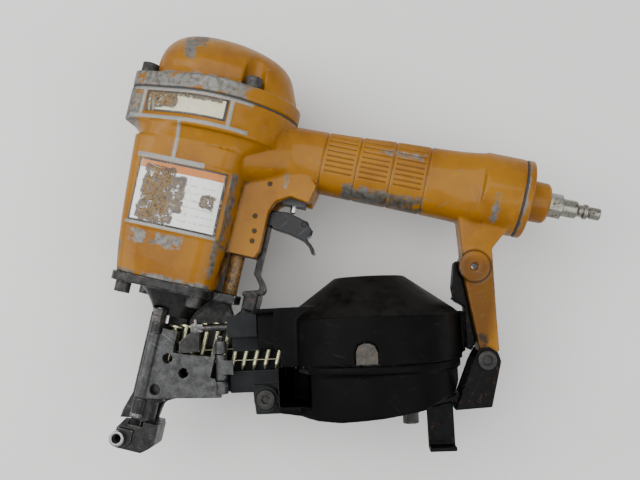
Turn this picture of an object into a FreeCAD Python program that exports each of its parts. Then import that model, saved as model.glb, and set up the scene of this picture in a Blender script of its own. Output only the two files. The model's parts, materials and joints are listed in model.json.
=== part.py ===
import FreeCAD, Part
import Sketcher
import math
import os
import re

# Coil roofing nailer.  Frame: origin on the drive axis at the work surface under the contact foot,
# +Y up the drive axis to the cap, +X back along the handle to the air plug, +Z out of the tool's left side.

V = FreeCAD.Vector
X_WAY = V(1, 0, 0)
Y_WAY = V(0, 1, 0)
Z_WAY = V(0, 0, 1)

doc = FreeCAD.newDocument("coil_roofing_nailer")
sheet = doc.addObject("Spreadsheet::Sheet", "Sizes")

SIZES = {
    # drive engine
    "fit_gap": 0.05,
    "sleeve_outer": 28, "sleeve_inner": 25, "sleeve_low": 116, "sleeve_high": 228,
    "piston_low": 213, "piston_high": 225, "driver_radius": 4.4, "driver_tip": 86,
    "channel_radius": 5, "bumper_high": 133, "chamber_radius": 33,
    "valve_radius": 29.8, "valve_low": 228.1, "valve_high": 250,
    # housing
    "housing_low": 114, "waist": 140, "shoulder_low": 203, "shoulder_high": 213, "deck": 235,
    "body_power": 5, "handle_bore": 14, "handle_end": 213.5,
    "flange_radius": 50, "flange_centre": 8, "corner_radius": 12, "corner_x": -41, "corner_z": 20,
    "cheek_half": 17, "slot_half": 7.5, "strut_half": 12, "boss_radius": 10,
    # cap
    "gasket": 1, "cap_flange": 10, "cap_screw_head": 5.5, "cap_screw": 3, "cap_bore": 30,
    # nose
    "nose_flange": 6, "nose_screw_head": 5, "nose_screw": 2.5, "nose_front": -9, "nose_back": 13,
    "nose_low": -14, "track_face": 8, "barrel_radius": 7.5, "barrel_low": 20, "bar_low": 36, "bar_high": 92,
    "plate_thick": 6,
    # magazine
    "tilt": 15, "magazine_x": 141.5, "magazine_y": 91.9,
    "cover_radius": 58.5, "cover_wall": 2.5, "cover_side": 32, "cover_top": 55, "cone_radius": 23,
    "bowl_radius": 55, "rim_radius": 57, "bowl_wall": 2.5,
    "nail_pitch": 7.5, "nail_length": 33, "nail_radius": 1.5, "head_radius": 4.75, "head_thick": 1.2,
    "coil_radius": 44, "tip_level": -3, "wire_radius": 0.35,
    # trigger group
    "pin_radius": 1.5, "trigger_x": 46.3, "trigger_y": 168.2, "lever_x": 78.1, "lever_y": 170.3,
    "valve_x": 68, "stem_radius": 2, "arm_half": 4, "arm_front": 51.8, "arm_back": 55.8,
    # door
    "rod_x": -2, "rod_z": 13, "rod_radius": 2.25, "knuckle_radius": 4, "door_low": 10, "door_high": 14,
    # air inlet
    "end_radius": 26, "plug_level": 217.5, "plug_tip": 4, "plug_bore": 2.6,
    "plug_flats": 14.3, "plug_hex_low": 19.6, "plug_hex_long": 9.2,
    # pivots of the magazine
    "pivot_x": 212, "pivot_y": 108.8, "pivot_pin": 3.5,
}
for row, (alias, amount) in enumerate(SIZES.items(), start=1):
    sheet.set(f"A{row}", alias.replace("_", " "))
    sheet.set(f"B{row}", str(amount))
    sheet.setAlias(f"B{row}", alias)
doc.recompute()


class Values:
    """The sheet's cells, read as plain numbers."""

    def __getattr__(self, alias):
        return float(getattr(sheet, alias))


size = Values()
nodes = {}
WORD = re.compile(r"[A-Za-z_]\w*")


def bind(obj, prop, text):
    """Tie one property to an expression in which every cell's alias may stand."""
    text = str(text)
    obj.setExpression(prop, WORD.sub(lambda m: "Sizes." + m[0] if m[0] in SIZES else m[0], text))


def facing(at, way):
    """A placement at a point whose own Z axis looks along way."""
    return FreeCAD.Placement(V(*at), FreeCAD.Rotation(Z_WAY, V(*way)))


def magazine():
    """The magazine's frame: its own X along the nail track, its own Y up the canister's axis."""
    return FreeCAD.Placement(V(size.magazine_x, size.magazine_y, 0), FreeCAD.Rotation(Z_WAY, size.tilt))


def in_magazine(obj):
    obj.Placement = magazine().multiply(obj.Placement)
    return obj


def keep(label, obj):
    """Name an object as one node of the part."""
    obj.Label = label
    nodes[label] = obj
    return obj


# ---- Part primitives with bound sizes ----

def rod(name, radius, length, at, way=Y_WAY):
    obj = doc.addObject("Part::Cylinder", name)
    bind(obj, "Radius", radius)
    bind(obj, "Height", length)
    obj.Placement = facing(at, way)
    return obj


def block(name, at, lengths):
    obj = doc.addObject("Part::Box", name)
    for prop, text in zip(("Length", "Width", "Height"), lengths):
        bind(obj, prop, text)
    obj.Placement = FreeCAD.Placement(V(*at), FreeCAD.Rotation())
    return obj


def hexagon(name, across, length, at, way=Y_WAY):
    obj = doc.addObject("Part::Prism", name)
    obj.Polygon = 6
    bind(obj, "Circumradius", f"{across} / 1.7320508")
    bind(obj, "Height", length)
    obj.Placement = facing(at, way)
    return obj


def cut(name, base, tool):
    obj = doc.addObject("Part::Cut", name)
    obj.Base = base
    obj.Tool = tool
    return obj


def fuse(name, pieces):
    obj = doc.addObject("Part::MultiFuse", name)
    obj.Shapes = pieces
    return obj


def tube(name, outer, inner, length, at, way=Y_WAY):
    wall = rod(name + "_wall", outer, length, at, way)
    return cut(name, wall, rod(name + "_hole", inner, length, at, way))


def group(name, pieces):
    obj = doc.addObject("Part::Compound", name)
    obj.Links = pieces
    return obj


def feature(label, shape):
    obj = doc.addObject("Part::Feature", label)
    obj.Shape = shape
    return keep(label, obj)


# ---- PartDesign bodies ----

def body(label):
    return keep(label, doc.addObject("PartDesign::Body", label))


def sketch(owner, role, name, offset=None):
    sk = owner.newObject("Sketcher::SketchObject", name)
    plane = [o for o in owner.Origin.OriginFeatures if o.Role == role][0]
    sk.AttachmentSupport = [(plane, "")]
    sk.MapMode = "FlatFace"
    if offset is not None:
        bind(sk, "AttachmentOffset.Base.z", offset)
    return sk


def outline(sk, points):
    """A closed chain of straight edges."""
    first = sk.GeometryCount
    count = len(points)
    for i, (x, y) in enumerate(points):
        after = points[(i + 1) % count]
        sk.addGeometry(Part.LineSegment(V(x, y, 0), V(after[0], after[1], 0)))
    for i in range(count):
        sk.addConstraint(Sketcher.Constraint("Coincident", first + i, 2, first + (i + 1) % count, 1))


def circle(sk, x, y, radius):
    """A circle whose radius is bound to the sheet."""
    index = sk.addGeometry(Part.Circle(V(x, y, 0), Z_WAY, 1))
    rule = sk.addConstraint(Sketcher.Constraint("Radius", index, 1))
    bind(sk, f"Constraints[{rule}]", radius)


def pad(owner, sk, length, both=False, flip=False):
    f = owner.newObject("PartDesign::Pad", sk.Name + "_pad")
    f.Profile = sk
    bind(f, "Length", length)
    f.Midplane = both
    f.Reversed = flip
    owner.Tip = f
    doc.recompute()
    return f


def pocket(owner, sk, length, both=False, flip=False):
    """A pocket; it stops the build if it takes nothing away."""
    before = owner.Shape.Volume
    f = owner.newObject("PartDesign::Pocket", sk.Name + "_pocket")
    f.Profile = sk
    bind(f, "Length", length)
    f.Midplane = both
    f.Reversed = flip
    owner.Tip = f
    doc.recompute()
    if owner.Shape.Volume > before - 0.01:
        raise ValueError(sk.Name + " cuts nothing")
    return f


def lathe(label, profile, at=(0, 0, 0), way=Y_WAY):
    """A turned piece: profile points are (radius, height), and its own Y axis is laid along way."""
    owner = body(label)
    sk = sketch(owner, "XY_Plane", label + "_profile")
    outline(sk, profile)
    f = owner.newObject("PartDesign::Revolution", label + "_turn")
    f.Profile = sk
    f.ReferenceAxis = (sk, ["V_Axis"])
    f.Angle = 360
    owner.Tip = f
    owner.Placement = FreeCAD.Placement(V(*at), FreeCAD.Rotation(Y_WAY, V(*way)))
    return owner


# ---- curves for the cast and moulded shells ----

def ring(points):
    """A smooth closed wire through the points."""
    curve = Part.BSplineCurve()
    curve.interpolate(points, PeriodicFlag=True)
    return Part.Wire([curve.toShape()])


def oval(level, low, high, half, power, along="y", centre=0.0, count=40):
    """A rounded section at one level; its corners sharpen as power grows."""
    mid = (low + high) / 2
    reach = (high - low) / 2
    points = []
    for i in range(count):
        angle = 2 * math.pi * (i + 0.5) / count
        c, s = math.cos(angle), math.sin(angle)
        a = mid + reach * math.copysign(abs(c) ** (2 / power), c)
        b = centre + half * math.copysign(abs(s) ** (2 / power), s)
        points.append(V(a, level, b) if along == "y" else V(level, a, b))
    return ring(points)


def loft(sections, ruled=False):
    return Part.makeLoft(sections, True, ruled)


def prism(points, low, high):
    """A plate cut to an outline in the X-Y plane, between two Z levels."""
    corners = [V(x, y, low) for x, y in points]
    face = Part.Face(Part.makePolygon(corners + corners[:1]))
    return face.extrude(V(0, 0, high - low))


def brick(low, high):
    return Part.makeBox(high[0] - low[0], high[1] - low[1], high[2] - low[2], V(*low))


def bar(radius, start, end):
    way = V(*end) - V(*start)
    return Part.makeCylinder(radius, way.Length, V(*start), way)


def join(pieces):
    """Fuse shells one after another, which curved skins need."""
    whole = pieces[0]
    for piece in pieces[1:]:
        whole = whole.fuse(piece)
    return whole


def spring(label, radius, wire, turns, low, high, x, z):
    """A coil spring that stands along Y."""
    rise = high - low - 2 * wire
    helix = Part.makeHelix(rise / turns, rise, radius)
    start = Part.Wire([Part.makeCircle(wire, V(radius, 0, 0), Y_WAY)])
    coil = Part.Wire(helix).makePipeShell([start], True, True)
    coil.Placement = FreeCAD.Placement(V(x, low + wire, z), FreeCAD.Rotation(Z_WAY, Y_WAY))
    return feature(label, coil)


def hull_of_flange(grow, low, high):
    """The cap flange's outline: a big circle drawn forward to two corner circles, as one plate."""
    cx = size.flange_centre
    big = size.flange_radius + grow
    px, pz = size.corner_x, size.corner_z
    small = size.corner_radius + grow
    apart = math.hypot(cx - px, pz)
    lean = math.atan2(pz, px - cx)
    touch = math.acos((big - small) / apart)
    side = lean - touch
    a = V(cx + big * math.cos(side), low, big * math.sin(side))
    b = V(px + small * math.cos(side), low, pz + small * math.sin(side))
    c = V(px - small, low, pz)
    turn = (side + math.pi) / 2
    mid = V(px + small * math.cos(turn), low, pz + small * math.sin(turn))

    def mirrored(point):
        return V(point.x, point.y, -point.z)

    edges = [
        Part.Arc(mirrored(a), V(cx + big, low, 0), a).toShape(),
        Part.LineSegment(a, b).toShape(),
        Part.Arc(b, mid, c).toShape(),
        Part.LineSegment(c, mirrored(c)).toShape(),
        Part.Arc(mirrored(c), mirrored(mid), mirrored(b)).toShape(),
        Part.LineSegment(mirrored(b), mirrored(a)).toShape(),
    ]
    face = Part.Face(Part.Wire(Part.__sortEdges__(edges)))
    return face.extrude(V(0, high - low, 0))


# ---- the housing: engine casting, handle, trigger cheeks and strut in one piece ----

CHEEK = [(26, 141), (52, 141), (54, 146), (54, 172), (57, 180), (66, 185.5), (79, 183.5), (82, 196),
         (60, 214), (26, 214)]
STRUT = [(176, 197), (183, 175), (187, 160), (205, 118), (207, 113), (217, 113), (219, 117), (212, 142),
         (204, 172), (202, 180), (211, 198)]
BODY_LEVELS = [(0, -35, 31, 34), (0.28, -38, 33, 38), (0.6, -40, 34, 40.5), (0.83, -41.3, 34.5, 41),
               (1, -42.3, 36, 41.5)]
GRIP_LEVELS = [(44, 190, 233, 25), (62, 193, 234.5, 20.5), (82, 193.5, 235.2, 19),
               (120, 193.5, 237.5, 18.8), (150, 193.5, 239, 19), (178, 193, 241, 20.5),
               (190, 192, 242.8, 24)]


def body_loft(grow=0.0):
    tall = size.shoulder_low - size.housing_low
    sections = [oval(size.housing_low + share * tall, low - grow, high + grow, half + grow, size.body_power)
                for share, low, high, half in BODY_LEVELS]
    return loft(sections)


def cap_screw_places():
    front = size.corner_x - 3
    return [(front, 22.5), (front, -22.5), (30, 37.5), (30, -37.5)]


def nose_screw_places():
    return [(-26.4, 26), (-26.4, -26), (21.5, 26), (21.5, -26)]


def housing():
    shoulder = loft([oval(size.shoulder_low - 1.5, -41, 34.5, 40.2, size.body_power),
                     oval(size.shoulder_high, -51, 56.5, 45.5, 2.4)], ruled=True)
    upper = hull_of_flange(0, size.shoulder_high - 0.5, size.deck)
    grip = loft([oval(x, low, high, half, 2.6, along="x") for x, low, high, half in GRIP_LEVELS])
    level = size.plug_level
    bell = Part.makeCylinder(size.end_radius, size.handle_end - 188, V(188, level, 0), X_WAY)
    saddle = loft([oval(29, 186, 232, 34, 3.2, along="x"), oval(72, 197, 231, 16, 2.6, along="x")])
    cheeks = prism(CHEEK, -size.cheek_half, size.cheek_half)
    strut = prism(STRUT, -size.strut_half, size.strut_half)
    boss = Part.makeCylinder(size.boss_radius, 2 * size.strut_half + 3, V(193, 166, -size.strut_half - 1.5))
    whole = join([body_loft(), shoulder, upper, saddle, cheeks, grip, bell, strut, boss])
    half_slot = size.slot_half
    chamber = Part.makeCylinder(size.chamber_radius, size.deck - size.waist + 1, V(0, size.waist, 0), Y_WAY)
    seat = Part.makeCylinder(size.sleeve_outer + size.fit_gap, 60, V(0, size.housing_low - 1, 0), Y_WAY)
    air = Part.makeCylinder(size.handle_bore, size.handle_end - 20, V(25, level, 0), X_WAY)
    slot = prism([(41.5, 139), (60, 139), (60, 176), (90, 176), (90, 183), (76.6, 186), (76.6, 194), (48, 194),
                  (41.5, 188)], -half_slot, half_slot)
    valve_seat = Part.makeCylinder(7.5 + size.fit_gap, 16, V(size.valve_x, 193, 0), Y_WAY)
    pins = [(51.4, 190.7), (size.trigger_x, size.trigger_y), (48, 158.3), (48.2, 151.5)]
    holes = [Part.makeCylinder(size.pin_radius + 0.02, 60, V(x, y, -30)) for x, y in pins]
    boss_hole = Part.makeCylinder(2.3, 40, V(193, 166, -20))
    pivot = Part.makeCylinder(size.pivot_pin + size.fit_gap, 40, V(size.pivot_x, size.pivot_y, -20))
    threads = [Part.makeCylinder(size.cap_screw, 14, V(x, size.deck - 13, z), Y_WAY)
               for x, z in cap_screw_places()]
    threads += [Part.makeCylinder(size.nose_screw, 12, V(x, size.housing_low - 1, z), Y_WAY)
                for x, z in nose_screw_places()]
    end_holes = [Part.makeCylinder(1.7, 10, V(size.handle_end - 9, level + 20.5 * c, 20.5 * s), X_WAY)
                 for c, s in end_screw_ways()]
    deck = brick((-60, size.deck, -60), (60, size.deck + 10, 60))
    openings = [deck, chamber, seat, air, slot, valve_seat, boss_hole, pivot]
    shape = whole.cut(openings + holes + threads + end_holes)
    return feature("housing", shape.Solids[0])


def end_screw_ways():
    return [(math.cos(a), math.sin(a)) for a in (math.pi * (2 * k + 1) / 4 for k in range(4))]


def wrapped_plate(label, skin, hide, window):
    """A thin plate that hugs a shell: what the window takes from the skin's outside."""
    return feature(label, skin.cut(hide).common(window).Solids[0])


def plates():
    """The name band and the large side plate, both blank."""
    low = size.shoulder_high
    band = hull_of_flange(0.7, low, size.deck)
    wrapped_plate("nameplate", band, hull_of_flange(0.02, low - 1, size.deck + 1),
                  brick((-37, 219, 20), (20, 232.6, 60)))
    wrapped_plate("side_plate", body_loft(0.6), body_loft(0.03), brick((-30, 147.5, 20), (27.5, 188, 60)))


# ---- cap ----

DOME_LEVELS = [(0, -43.5, 53.5, 42, 2.6), (12, -43, 51, 39.5, 2.6), (20, -41.5, 47.5, 36, 2.6),
               (26, -39, 41.5, 31, 2.5), (31, -35, 31, 25, 2.4), (35, -29, 18, 17, 2.3),
               (37.5, -21, 6, 9, 2.2), (38.3, -14, -3, 4, 2.1)]


def cap():
    low = size.deck + size.gasket
    flange = hull_of_flange(0, low, low + size.cap_flange)
    base = low + size.cap_flange
    dome = loft([oval(base - 0.5 + rise, a, b, half, power) for rise, a, b, half, power in DOME_LEVELS])
    shape = flange.fuse(dome)
    bore = Part.makeCylinder(size.cap_bore, 30, V(0, low - 1, 0), Y_WAY)
    vent = Part.makeCylinder(12, 8, V(0, low + 28, 0), Y_WAY)
    pockets = [Part.makeCylinder(size.cap_screw_head + 2, 40, V(x, base, z), Y_WAY)
               for x, z in cap_screw_places()]
    holes = [Part.makeCylinder(size.cap_screw + 0.3, 40, V(x, low - 1, z), Y_WAY)
             for x, z in cap_screw_places()]
    shape = shape.cut([bore, vent] + pockets + holes)
    feature("frame_cap", shape.Solids[0])
    thin = hull_of_flange(-0.3, size.deck, low)
    bore = Part.makeCylinder(size.chamber_radius, 5, V(0, size.deck - 1, 0), Y_WAY)
    holes = [Part.makeCylinder(size.cap_screw + 0.3, 5, V(x, size.deck - 1, z), Y_WAY)
             for x, z in cap_screw_places()]
    feature("cap_gasket", thin.cut([bore] + holes))


def socket_screw(name, at, way, head, head_tall, shank, length):
    """A socket head screw: its head sits on the point at, and its shank runs against way."""
    back = V(*at) - V(*way) * length
    shaft = rod(name + "_shank", shank, length, tuple(back), way)
    top = rod(name + "_head", head, head_tall, at, way)
    socket = hexagon(name + "_socket", f"{head} * 0.95", f"{head_tall} * 0.5 + 1",
                     tuple(V(*at) + V(*way) * (float(head_tall) * 0.5)), way)
    return cut(name, fuse(name + "_solid", [shaft, top]), socket)


def fasteners():
    top = size.deck + size.gasket + size.cap_flange
    screws = [socket_screw(f"cap_screw_{i}", (x, top, z), Y_WAY, "cap_screw_head", 7, "cap_screw - 0.05", 20)
              for i, (x, z) in enumerate(cap_screw_places())]
    keep("cap_screws", group("cap_screws", screws))
    low = size.housing_low - size.nose_flange
    screws = [socket_screw(f"nose_screw_{i}", (x, low, z), -Y_WAY, "nose_screw_head", 7, "nose_screw - 0.05", 15)
              for i, (x, z) in enumerate(nose_screw_places())]
    keep("nose_screws", group("nose_screws", screws))
    face = size.handle_end + 1 + 5
    screws = [socket_screw(f"end_screw_{i}", (face - 2.2, size.plug_level + 20.5 * c, 20.5 * s), X_WAY,
                           2.8, 2, 1.6, 11) for i, (c, s) in enumerate(end_screw_ways())]
    keep("end_cap_screws", group("end_cap_screws", screws))


# ---- drive engine ----

def engine():
    lathe("cylinder_sleeve", [(size.sleeve_inner, size.sleeve_low), (size.sleeve_outer, size.sleeve_low),
                              (size.sleeve_outer, size.sleeve_high), (size.sleeve_inner, size.sleeve_high)])
    reach = size.sleeve_inner - size.fit_gap
    lathe("bumper", [(5.4, size.housing_low + 0.02), (reach, size.housing_low + 0.02), (reach, 128),
                     (20, size.bumper_high), (8, size.bumper_high), (5.4, 130)])
    low, high = size.piston_low, size.piston_high
    groove = reach - 3
    lathe("piston", [(0, low), (22, low), (reach, low + 3), (reach, low + 5), (groove, low + 5),
                     (groove, low + 8.4), (reach, low + 8.4), (reach, high), (16, high), (14, high - 4),
                     (0, high - 4)])
    seal = doc.addObject("Part::Torus", "piston_ring")
    seal.Radius1 = groove + 1.45
    bind(seal, "Radius2", 1.4)
    seal.Placement = facing((0, low + 6.7, 0), Y_WAY)
    keep("piston_ring", seal)
    blade = rod("driver_bar", "driver_radius", "piston_low - driver_tip", (0, size.driver_tip, 0))
    flat = block("driver_flat", (2.2, size.driver_tip - 1, -6), (6, "piston_low - driver_tip + 2", 12))
    keep("driver_blade", cut("driver_blade_solid", blade, flat))
    low, high = size.valve_low, size.valve_high
    outer = size.valve_radius
    lathe("head_valve", [(10, low), (outer - 1.5, low), (outer - 1.5, low + 4), (outer - 0.05, low + 10),
                         (outer - 0.05, low + 12), (outer - 2.8, low + 12), (outer - 2.8, low + 15),
                         (outer - 0.05, low + 15), (outer - 0.05, high), (24, high), (24, low + 6),
                         (10, low + 6)])
    ringed = doc.addObject("Part::Torus", "head_valve_ring")
    ringed.Radius1 = outer - 1.45
    bind(ringed, "Radius2", 1.25)
    ringed.Placement = facing((0, low + 13.5, 0), Y_WAY)
    keep("head_valve_seal", ringed)
    spring("head_valve_spring", 18, 1.2, 4, low + 6.2, 264.6, 0, 0)


# ---- nose ----

def nose():
    flange_low = size.housing_low - size.nose_flange
    flange = loft([oval(flange_low, -37, 31, 34, 5.5), oval(size.housing_low - 0.02, -37, 31, 34, 5.5)])
    lug = brick((20, flange_low, -6), (45.5, size.housing_low - 0.02, 16))
    funnel = loft([oval(flange_low + 0.5, -21.5, 26, 20, 3), oval(100, -13, 18, 15.5, 3.5),
                   oval(size.bar_high - 0.5, size.nose_front + 1, size.nose_back, 13, 5, centre=-1)])
    front, back, far, face = size.nose_front, size.nose_back, size.nose_low, size.track_face
    frame_bar = brick((front, size.bar_low, far), (back, size.bar_high, face))
    barrel = Part.makeCylinder(size.barrel_radius, 20, V(0, size.barrel_low, 0), Y_WAY)
    foot_web = prism([(4, 31), (25, 42), (25, 48), (0, 48)], -5.1, 5.1)
    back_plate = prism([(front, 38), (25, 42), (57, 51), (46.5, 92), (38, 108), (0, 108)],
                       far, far + size.plate_thick)
    toe = prism([(front - 5, 24), (front - 5.5, 19), (-4, 21), (-4, 40), (front, 40)], -8, 5)
    spring_lug = brick((-6, 50, -21), (2, 55, far))
    spans = ((26, 35.5), (79, 86))
    knuckles = [bar(size.knuckle_radius, (size.rod_x, low, size.rod_z), (size.rod_x, high, size.rod_z))
                for low, high in spans]
    webs = [brick((size.rod_x - 3.5, low, 0), (size.rod_x + 3, high, size.rod_z)) for low, high in spans]
    shape = flange.multiFuse([lug, funnel, frame_bar, barrel, foot_web, back_plate, toe, spring_lug]
                             + knuckles + webs)
    channel = Part.makeCylinder(size.channel_radius, 100, V(0, 19, 0), Y_WAY)
    mouth = brick((-size.channel_radius, 48, 0), (size.channel_radius, 78.9, 20))
    track = brick((0, 47, -5.2), (back + 1, 92, face + 0.1))
    rod_holes = bar(size.rod_radius + size.fit_gap, (size.rod_x, 20, size.rod_z), (size.rod_x, 95, size.rod_z))
    door_room = brick((front - 1, 35.5, face), (40, 78.9, 30)).fuse(brick((2.2, 78, face), (40, 83.5, 30)))
    nut_room = bar(5.4, (size.rod_x, 86, size.rod_z), (size.rod_x, 97, size.rod_z))
    holes = [Part.makeCylinder(size.nose_screw + 0.3, 10, V(x, flange_low - 1, z), Y_WAY)
             for x, z in nose_screw_places()]
    heads = [Part.makeCylinder(size.nose_screw_head + 0.4, 12, V(x, flange_low - 12, z), Y_WAY)
             for x, z in nose_screw_places()]
    slack = Part.makeCylinder(5.2, 6, V(0, size.housing_low - 5, 0), Y_WAY)
    shape = shape.cut([channel, mouth, track, rod_holes, door_room, nut_room, slack] + holes + heads)
    feature("nose_casting", shape.Solids[0])


def nail_track():
    """The lower guide that carries the strip from the magazine to the drive channel."""
    back_wall = prism([(-126, -17), (-60.5, -17), (-60.5, 14), (-126, 14)], -8, -5.2)
    lip = prism([(-94, -14.5), (-60.5, -14.5), (-60.5, -3), (-94, -3)], 5.2, 8.5)
    floor = prism([(-94, -17), (-60.5, -17), (-60.5, -13.5), (-94, -13.5)], -8, 8.5)
    ear = prism([(-77, -31), (-61, -31), (-61, -12), (-79, -12)], 4.5, 12)
    boss = Part.makeCylinder(8, 15, V(-69.2, -20.7, 3.5))
    hole = Part.makeCylinder(2.6, 40, V(-69.2, -20.7, -10))
    shape = back_wall.multiFuse([lip, floor, ear, boss]).cut(hole)
    shape.Placement = magazine()
    guide = shape.cut(brick((-10, 30, -9), (size.nose_back + 0.05, 100, 9)))
    feature("nail_guide", guide.Solids[0])
    parts = fuse("guide_screw_parts", [rod("guide_screw_head", 6, 2.5, (-69.2, -20.7, 18.55), Z_WAY),
                                       rod("guide_screw_shank", 2.5, 24, (-69.2, -20.7, -5), Z_WAY)])
    socket = hexagon("guide_screw_socket", 5, 6, (-69.2, -20.7, 19.2), Z_WAY)
    guide_screw = cut("guide_screw", parts, socket)
    stay_screw = fuse("stay_screw", [rod("stay_screw_head", 3.4, 4, (57.6, 38.8, 0)),
                                     rod("stay_screw_washer", 4.2, 1.5, (57.6, 37.4, 0))])
    keep("magazine_screws", in_magazine(group("magazine_screws", [guide_screw, stay_screw])))


# ---- door, its rod and its latch ----

LATCH_X, LATCH_LOW, LATCH_HIGH = 46, 50, 84
LATCH_LEAN = math.tan(math.radians(15))


def latch_point(y, z=12.0):
    """A point on the latch's pivot line, which leans with the magazine."""
    return (LATCH_X - (y - 67) * LATCH_LEAN, y, z)


DOOR_HOLES = [(10, 64.5, 3.2), (22.5, 57.5, 3.2), (6.5, 43, 3.5)]


def door():
    plate = prism([(2.3, 36), (50.5, 47.5), (41.8, 84), (2.3, 83)], size.door_low, size.door_high)
    rib = prism([(-2.4, 49), (38, 56), (33, 83), (2.5, 82.5), (2.5, 78.7), (-2.4, 78.7)], 5.4, size.door_low)
    knuckle = bar(size.knuckle_radius, (size.rod_x, 36, size.rod_z), (size.rod_x, 78.8, size.rod_z))
    hinge_web = prism([(-2, 36), (3, 36), (3, 78.7), (-2, 78.7)], size.door_low, size.door_high)
    pieces = [rib, knuckle, hinge_web]
    for low, high in ((LATCH_LOW, LATCH_LOW + 8), (LATCH_HIGH - 9, LATCH_HIGH - 1)):
        pieces.append(bar(4, latch_point(low), latch_point(high)))
    shape = plate.multiFuse(pieces)
    cuts = [Part.makeCylinder(r, 30, V(x, y, 5)) for x, y, r in DOOR_HOLES]
    cuts.append(prism([(12.5, 69), (38.3, 72), (38.3, 90), (12.5, 90)], 0, 30))
    cuts.append(bar(size.rod_radius + size.fit_gap, (size.rod_x, 30, size.rod_z), (size.rod_x, 90, size.rod_z)))
    cuts.append(bar(size.pin_radius + size.fit_gap, latch_point(45), latch_point(88)))
    cuts.append(bar(4.3, latch_point(LATCH_LOW + 7.9), latch_point(LATCH_HIGH - 8.9)))
    gap = latch_point(67)
    cuts.append(brick((gap[0] - 5.5, LATCH_LOW + 8.5, 5), (60, LATCH_HIGH - 9.5, 20)))
    feature("door", shape.cut(cuts).Solids[0])
    x, z = size.rod_x, size.rod_z
    shaft = rod("rod_shank", "rod_radius", 70, (x, 26, z))
    head = rod("rod_head", 4, 3, (x, 22.95, z))
    keep("door_rod", fuse("door_rod_solid", [shaft, head]))
    nuts = []
    for i, low in enumerate((86.05, 90.55)):
        flats = hexagon(f"nut_{i}", 8, 4.4, (x, low, z))
        hole = rod(f"nut_hole_{i}", "rod_radius + 0.01", 5, (x, low, z))
        nuts.append(cut(f"door_nut_{i}", flats, hole))
    keep("door_nuts", group("door_nuts", nuts))


def latch():
    low, high = latch_point(LATCH_LOW + 8.6), latch_point(LATCH_HIGH - 9.6)
    sleeve = bar(3.6, low, high)
    start, end = latch_point(LATCH_LOW + 12), latch_point(LATCH_HIGH - 13)
    paddle = prism([(start[0] - 1, start[1]), (start[0] + 8, start[1] + 2), (end[0] + 8, end[1] + 2),
                    (end[0] - 1, end[1])], 13.6, 15.6)
    hole = bar(size.pin_radius + size.fit_gap, latch_point(45), latch_point(88))
    feature("door_latch", sleeve.fuse(paddle).cut(hole).Solids[0])
    shaft = bar(size.pin_radius, latch_point(LATCH_LOW - 0.5), latch_point(LATCH_HIGH + 2.5))
    button = bar(2.4, latch_point(LATCH_HIGH + 1.2), latch_point(LATCH_HIGH + 2.5))
    feature("latch_pin", shaft.fuse(button))


# ---- feed ----

FEED_V, FEED_Z = 26.3, 16.5


def feed():
    upper = block("feed_block", (-92, 19.5, 7), (19.5, 14.4, 19))
    skirt = block("feed_skirt", (-90, 10.3, 6.6), (17.5, 10, 11.4))
    shell = fuse("feed_shell", [upper, skirt])
    bore = rod("feed_bore", 6, 18, (-90, FEED_V, FEED_Z), X_WAY)
    rod_hole = rod("feed_rod_hole", 2.55, 4, (-93, FEED_V, FEED_Z), X_WAY)
    hollow = fuse("feed_hollow", [bore, rod_hole])
    keep("feed_cylinder", in_magazine(cut("feed_cylinder_solid", shell, hollow)))
    disc = rod("feed_cap_disc", 7.4, 2.4, (-72.45, FEED_V, FEED_Z), X_WAY)
    spigot = rod("feed_cap_spigot", 5.9, 3, (-75.4, FEED_V, FEED_Z), X_WAY)
    keep("feed_cap", in_magazine(fuse("feed_cap_solid", [disc, spigot])))
    head = rod("feed_piston_head", 5.93, 4, (-89.9, FEED_V, FEED_Z), X_WAY)
    shaft = rod("feed_piston_rod", 2.5, 23, (-110, FEED_V, FEED_Z), X_WAY)
    eye = block("feed_eye", (-117, FEED_V - 2.5, FEED_Z - 2.4), (8, 5, 4.8))
    hole = rod("feed_eye_hole", "pin_radius + fit_gap", 12, (-114, FEED_V - 6, FEED_Z), Y_WAY)
    body = fuse("feed_piston_parts", [head, shaft, eye])
    keep("feed_piston", in_magazine(cut("feed_piston_solid", body, hole)))
    pin = rod("feed_pawl_pin", "pin_radius", 16, (-114, FEED_V - 10, FEED_Z), Y_WAY)
    keep("pawl_pin", in_magazine(pin))
    coil = Part.Wire(Part.makeHelix(1.3, 9, 4.2)).makePipeShell(
        [Part.Wire([Part.makeCircle(0.5, V(4.2, 0, 0), Y_WAY)])], True, True)
    coil.Placement = magazine().multiply(facing((-85.3, FEED_V, FEED_Z), X_WAY))
    feature("feed_spring", coil)
    arm = prism([(-125, 11), (-111.5, 11), (-111.5, FEED_V - 2.7), (-117.4, FEED_V - 2.7), (-125, 18)],
                FEED_Z - 2.6, FEED_Z + 2.6)
    lower = prism([(-125, 11), (-121.2, 11), (-121.2, 18), (-125, 18)], 3, FEED_Z - 2)
    hole = bar(size.pin_radius + size.fit_gap, (-114, 0, FEED_Z), (-114, 40, FEED_Z))
    pawl = arm.fuse(lower).cut(hole)
    pawl.Placement = magazine()
    tooth = prism([(17.3, 73.2), (19, 73.2), (19, 77.6), (17.3, 77.6)], 1.1, 6)
    feature("feed_pawl", pawl.fuse(tooth).Solids[0])


# ---- contact trip ----

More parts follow.
